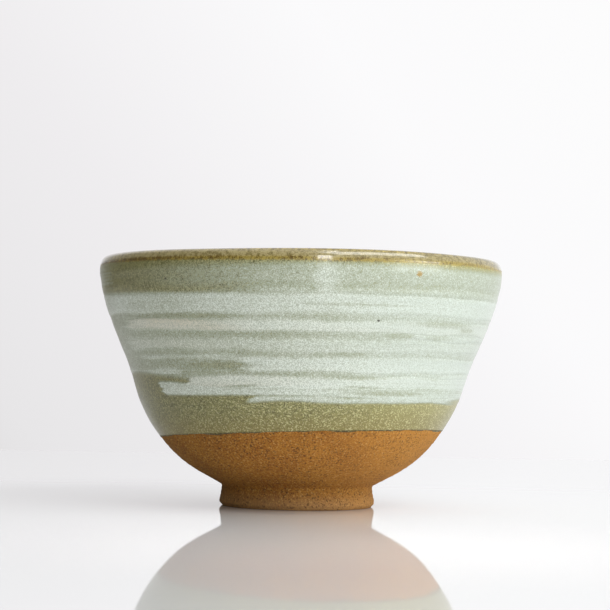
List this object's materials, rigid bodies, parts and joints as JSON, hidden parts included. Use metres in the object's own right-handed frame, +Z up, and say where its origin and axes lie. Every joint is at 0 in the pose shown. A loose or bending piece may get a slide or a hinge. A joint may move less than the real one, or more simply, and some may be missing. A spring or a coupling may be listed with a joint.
{
  "type": "matcha bowl",
  "caption": "Hand-thrown tea bowl for whisking powdered green tea, with a glazed wall, brushed white slip, an iron-brown lip and a bare clay foot ring.",
  "frame": {"origin": "centre of the foot ring's standing face, on the surface that the bowl rests on", "axes": "+Z up through the mouth, -Y the front, where most of the brush strokes start, and +X to the right as seen from the front"},
  "size_m": [0.1202, 0.1202, 0.0733],
  "materials": {
    "stoneware": "bare fired clay, matt and gritty, with dark iron specks",
    "ash_glaze": "glossy olive green, finely crystalled and speckled",
    "lip_glaze": "glossy, thin, iron brown breaking to cream",
    "white_slip": "glossy, milky white with streaks of the green below"
  },
  "bodies": {
    "root": {"bowl_body": "stoneware", "foot_ring": "stoneware", "outer_glaze": "ash_glaze", "inner_glaze": "ash_glaze", "lip_glaze": "lip_glaze", "slip_wash_collar": "white_slip", "slip_wash_shoulder": "white_slip", "slip_shoulder_patch": "white_slip", "slip_cream_stroke": "white_slip", "slip_middle_patch": "white_slip", "slip_middle_stroke": "white_slip", "slip_thin_stroke": "white_slip", "slip_broad_stroke": "white_slip", "slip_bristle_line": "white_slip", "slip_low_patch": "white_slip", "slip_bright_stroke": "white_slip", "slip_square_stroke": "white_slip", "slip_lowest_stroke": "white_slip"}
  },
  "joints": []
}
